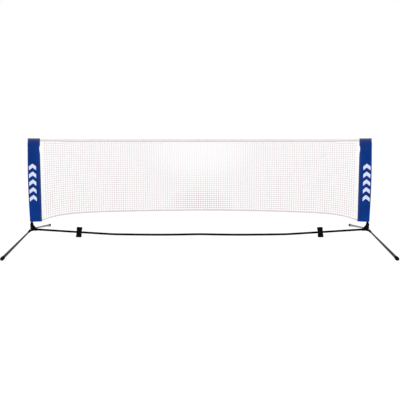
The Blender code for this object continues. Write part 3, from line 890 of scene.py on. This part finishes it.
# ---- print
def chevron_points(foot, sign):
    """One chevron as two layers of a grid laid on the sleeve's front, its feet at height foot."""
    columns, rows = MOTIF_CELLS
    points = []
    for proud in (INK_PROUD, INK_SUNK):
        for i in range(columns + 1):
            u = i / columns
            x = MOTIF_X[0] + (MOTIF_X[1] - MOTIF_X[0]) * u
            rise = MOTIF_PEAK * (1 - abs(2 * u - 1))
            for j in range(rows + 1):
                z = foot + rise + MOTIF_BAND * j / rows
                points.append(Vector((sign * x, sleeve_face(x, z, FRONT) - proud, z)))
    return points


def chevron_faces(start):
    """Both layers of one chevron and the rim between them; its first point is number start."""
    columns, rows = MOTIF_CELLS
    layer = (columns + 1) * (rows + 1)

    def number(depth, i, j):
        return start + depth * layer + i * (rows + 1) + j

    faces = []
    for i in range(columns):
        for j in range(rows):
            around = ((i, j), (i + 1, j), (i + 1, j + 1), (i, j + 1))
            faces.append(tuple(number(0, *at) for at in around))
            faces.append(tuple(number(1, *at) for at in around[:1] + around[:0:-1]))
    rim = [(i, 0) for i in range(columns)] + [(columns, j) for j in range(rows)]
    rim += [(i, rows) for i in range(columns, 0, -1)] + [(0, j) for j in range(rows, 0, -1)]
    for a, b in zip(rim, rim[1:] + rim[:1]):
        faces.append((number(0, *b), number(0, *a), number(1, *a), number(1, *b)))
    return faces


def make_print(side, sign):
    """A column of plain chevrons printed on the sleeve's front."""
    points, faces = [], []
    pitch = (MOTIF_HIGH - MOTIF_LOW - MOTIF_PEAK - MOTIF_BAND) / (MOTIF_COUNT - 1)
    for k in range(MOTIF_COUNT):
        faces += chevron_faces(len(points))
        points += chevron_points(MOTIF_LOW + k * pitch, sign)
    if sign < 0:
        faces = [face[::-1] for face in faces]
    return piece(f"sleeve_print_{side}", points, faces, "tape", material="ink")


# ---- sleeve seams
def tunnel_seam(z, face):
    """Point of the seam beside the tunnel at z, on the right sleeve."""
    x = SEAM_X + 0.001
    return Vector((x, sleeve_face(x, z, face), z))


def edge_seam(z, face):
    """Point of the seam along the inner edge at z, on the right sleeve."""
    x = edge_at(z) + 0.005
    return Vector((x, sleeve_face(x, z, face), z))


def hem_seam(x, face):
    """Point of the bottom hem's seam at x, on the right sleeve."""
    z = bag_low.z + 0.012
    return Vector((x, sleeve_face(x, z, face), z + lower_edge(x, z)))


def on_side(seam, sign):
    """The same seam on the sleeve whose X has this sign."""
    def place(at, face):
        point = seam(at, face)
        return Vector((sign * point.x, point.y, point.z))
    return place


def make_sleeve_stitches(side, sign):
    """Tunnel seam, edge seam and bottom hem, front and back."""
    shape = ([], [])
    low, high = bag_low.z + 0.016, cuff_low.z - 0.002
    edge = edge_at(low)
    seams = ((tunnel_seam, low, high - low), (edge_seam, low, high - low),
             (hem_seam, edge + 0.006, POST_X - edge - 0.008))
    for face in (FRONT, BACK):
        for seam, start, length in seams:
            stitch_line(shape, on_side(seam, sign), start, length, face, SEAM_PITCH)
    return piece(f"sleeve_stitches_{side}", *shape, "blue_fabric", material="blue_thread", sharp=180)


# ---- hard parts
JOINTS = {joint["name"]: joint for joint in frame["joints"]}
SLOT_OF = {part["node"]: part["material_slot"] for part in frame["record"]["subparts"]}
BODY_NODES = frame["record"]["behaviour"]["bodies"]
BODY_OF = {node: body for body, nodes in BODY_NODES.items() for node in nodes}


def stand_in(name, points, faces, node, sharp=35):
    """A finer piece shown in place of a CAD node, on the same body."""
    made = piece(name, points, faces, SLOT_OF[node], BODY_OF[node], sharp=sharp)
    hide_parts(node)
    return made


def refined(node, rounding):
    """A finer copy of a CAD piece: welded, flat facets merged, edges rounded."""
    bm = bmesh.new()
    bm.from_mesh(frame["nodes"][node].data)
    bmesh.ops.remove_doubles(bm, verts=bm.verts, dist=0.00002)
    bmesh.ops.dissolve_limit(bm, angle_limit=math.radians(0.7), verts=bm.verts, edges=bm.edges)
    edges = [e for e in bm.edges if len(e.link_faces) == 2 and e.calc_face_angle() > math.radians(34)]
    bmesh.ops.bevel(bm, geom=edges, offset=rounding, segments=2, profile=0.6, affect="EDGES",
                    clamp_overlap=True)
    bmesh.ops.recalc_face_normals(bm, faces=bm.faces)
    points = [v.co.copy() for v in bm.verts]
    faces = [tuple(v.index for v in f.verts) for f in bm.faces]
    bm.free()
    return stand_in(f"{node}_moulding", points, faces, node)


def centres(node, origin, reach=0.0012):
    """Middle of a tube node's end nearest to origin, and of its far end."""
    points = points_of(node)
    far = max((p - origin).length for p in points)
    near = min((p - origin).length for p in points)
    ends = []
    for limit in (near, far):
        ring = [p for p in points if abs((p - origin).length - limit) < reach]
        ends.append(sum(ring, Vector()) / len(ring))
    return ends


def turned(origin, along, profile, sides=PIPE_SIDES, closed=True):
    """Points and faces of a profile of (radius, distance) turned about a line."""
    along = along.normalized()
    guess = Vector((1, 0, 0)) if abs(along.x) < 0.9 else Vector((0, 1, 0))
    across = (guess - along * guess.dot(along)).normalized()
    up = along.cross(across)
    turns = [2 * math.pi * k / sides for k in range(sides)]
    rings = []
    for radius, distance in profile:
        middle = origin + along * distance
        rings.append([middle + (across * math.cos(a) + up * math.sin(a)) * radius for a in turns])
    return lofted(rings, wrap=closed)


def tube_profile(length, radius, wall, chamfer=0.0004, steps=6):
    """A tube's section: outer wall up, inner wall back, ends slightly eased. radius is (near, far)."""
    near, far = radius
    span = [i / steps for i in range(steps + 1)]
    outer = [(near + (far - near) * t, length * t) for t in span]
    outer[0] = (outer[0][0], chamfer)
    outer[-1] = (outer[-1][0], length - chamfer)
    low = [(near - wall, chamfer), (near - wall + chamfer, 0.0), (near - chamfer, 0.0)]
    high = [(far - chamfer, length), (far - wall + chamfer, length), (far - wall, length - chamfer)]
    return low + outer + high


def off_line(p, origin, along):
    """Distance of p from the line through origin."""
    return ((p - origin) - along * (p - origin).dot(along)).length


def make_leg_tube(leg, pivot):
    """The tapered tube; returns its direction and its radius at the foot."""
    node = f"leg_{leg}"
    near, far = centres(node, pivot)
    along = (far - near).normalized()
    points = points_of(node)
    radius = [max((p - c).length for p in points if abs((p - c).dot(along)) < 0.002)
              for c in (near, far)]
    profile = tube_profile((far - near).length, radius, LEG_WALL)
    stand_in(f"leg_tube_{leg}", *turned(near, along, profile), node)
    return along, radius[1]


def make_foot(leg, pivot, along, tube_radius):
    """A rubber cup with three grooves, pressed flat where it meets the floor."""
    node = f"foot_{leg}"
    points = points_of(node)
    reaches = [(p - pivot).dot(along) for p in points]
    low, high = min(reaches), max(reaches)
    wide = max(off_line(p, pivot, along) for p in points)
    neck = tube_radius + 0.0003
    grooves = []
    for k in range(3):
        at = low + 0.0125 + 0.0042 * k
        grooves += [(wide, at - 0.0009), (wide - 0.0008, at - 0.0003),
                    (wide - 0.0008, at + 0.0003), (wide, at + 0.0009)]
    mouth = [(neck, low + 0.0006), (neck + 0.0006, low), (neck + 0.0012, low + 0.0004),
             (wide - 0.0012, low + 0.006), (wide, low + 0.010)]
    sole = [(wide, high - 0.0045), (wide - 0.0010, high - 0.0018), (wide - 0.0035, high),
            (0.0030, high + 0.0003), (0.0030, high - 0.0030), (neck, high - 0.0118)]
    cup, faces = turned(pivot, along, mouth + grooves + sole)
    cup = [Vector((p.x, p.y, max(p.z, 0.0002))) for p in cup]
    stand_in(f"rubber_foot_{leg}", cup, faces, node, sharp=40)


def make_rivet(leg, pivot, axis):
    """A rivet with a low dome at each end."""
    node = f"leg_rivet_{leg}"
    points = points_of(node)
    half = max(abs((p - pivot).dot(axis)) for p in points)
    head = max(off_line(p, pivot, axis) for p in points)
    shoulder = half - DOME_RISE
    dome = [(head * math.cos(a), shoulder + DOME_RISE * math.sin(a)) for a in DOME_ANGLES]
    profile = [(r, -d) for r, d in dome[::-1]]
    profile += [(SHANK_R, -shoulder), (SHANK_R, shoulder)] + dome
    stand_in(f"rivet_{leg}", *turned(pivot, axis, profile, RIVET_SIDES, closed=False), node)


def make_leg(end, side):
    """Leg tube, foot, rivet and fork of one leg, laid out from its fold joint."""
    leg = f"{end}_{side}"
    joint = JOINTS[f"leg_fold_{leg}"]
    pivot = Vector(joint["pos_m"])
    along, tube_radius = make_leg_tube(leg, pivot)
    make_foot(leg, pivot, along, tube_radius)
    make_rivet(leg, pivot, Vector(joint["axis"]))
    refined(f"leg_fork_{leg}", 0.0004)


def smooth_bar_axis():
    """The bar's axis height at any x, as a smooth curve through the CAD rings' middles."""
    bars = [name for name in frame["nodes"] if name.startswith(("bar_inner", "bar_outer"))]
    points = sorted((p.x, p.z) for name in bars for p in points_of(name))
    rings = [[points[0]]]
    for before, point in zip(points, points[1:]):
        if point[0] - before[0] > 0.002:
            rings.append([])
        rings[-1].append(point)
    xs = np.array([sum(x for x, _ in ring) / len(ring) for ring in rings])
    heights = [[z for _, z in ring] for ring in rings]
    zs = np.array([(min(tall) + max(tall)) / 2 for tall in heights])
    dense = np.linspace(xs[0], xs[-1], 1201)
    reach = 15
    window = np.hanning(2 * reach + 1)
    padded = np.pad(np.interp(dense, xs, zs), reach, mode="reflect", reflect_type="odd")
    return dense, np.convolve(padded, window / window.sum(), "valid")


BAR_X, BAR_Z = smooth_bar_axis()


def bar_at(x):
    """The bar's middle at x."""
    return Vector((x, 0.0, float(np.interp(x, BAR_X, BAR_Z))))


def make_bar(node):
    """One section of the ground bar, its cut ends slightly eased."""
    corner, far_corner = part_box(node)
    low, high = corner.x, far_corner.x
    radius = (far_corner.y - corner.y) / 2
    count = max(6, int((high - low) / 0.03))
    stations = [low + (high - low) * i / count for i in range(count + 1)]
    ease = 0.0004
    outer = [(low, radius - ease), (low + ease, radius)] + [(x, radius) for x in stations[1:-1]]
    outer += [(high - ease, radius), (high, radius - ease)]
    inner = [(x, radius - PIPE_WALL) for x in stations[::-1]]
    back = Vector((0, 1, 0))
    turns = [2 * math.pi * k / PIPE_SIDES for k in range(PIPE_SIDES)]
    rings = []
    for x, reach in outer + inner:
        ahead = (bar_at(x + 0.01) - bar_at(x - 0.01)).normalized()
        up = ahead.cross(back).normalized()
        rings.append([bar_at(x) + (back * math.cos(a) + up * math.sin(a)) * reach for a in turns])
    stand_in(f"{node}_tube", *lofted(rings, wrap=True), node)


def make_post(node):
    """A straight upright tube as tall and as wide as the node's box."""
    low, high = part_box(node)
    radius = (high.x - low.x) / 2
    foot = Vector(((low.x + high.x) / 2, (low.y + high.y) / 2, low.z))
    profile = tube_profile(high.z - low.z, (radius, radius), PIPE_WALL)
    stand_in(f"{node}_tube", *turned(foot, Vector((0, 0, 1)), profile), node)


def make_hard_parts():
    """Finer rounds for tubes, feet and rivets; rounded edges for the moulded and turned pieces."""
    for side in SIDES:
        for end in ("front", "rear"):
            make_leg(end, side)
        for stem in ("bar_inner", "bar_outer"):
            make_bar(f"{stem}_{side}")
        make_post(f"lower_post_{side}")
        make_post(f"upper_post_{side}")
        refined(f"hub_{side}", 0.0008)
        refined(f"storage_clip_{side}", 0.0005)
        for stem in ("post_lock", "post_screw", "bar_screw", "post_cap", "post_glide"):
            refined(f"{stem}_{side}", 0.0003)


# ---- build
add_camera()
add_surroundings()
for name, item in frame["nodes"].items():
    item.data.materials.clear()
    item.data.materials.append(MATERIALS[SLOT_OF[name]])
make_hard_parts()

net_pieces = make_net()
top_tape = make_top_tape()
bottom_tape = make_bottom_tape()
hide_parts("net_top_tape")
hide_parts("net_bottom_tape")
tape_stitches = make_tape_stitches()
for side, sign in SIDES.items():
    band = make_side_tape(side, sign)
    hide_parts(f"net_side_tape_{side}")
    make_sleeve(side, sign)
    make_cuff(side, sign)
    make_binding(side, sign)
    make_print(side, sign)
    make_sleeve_stitches(side, sign)
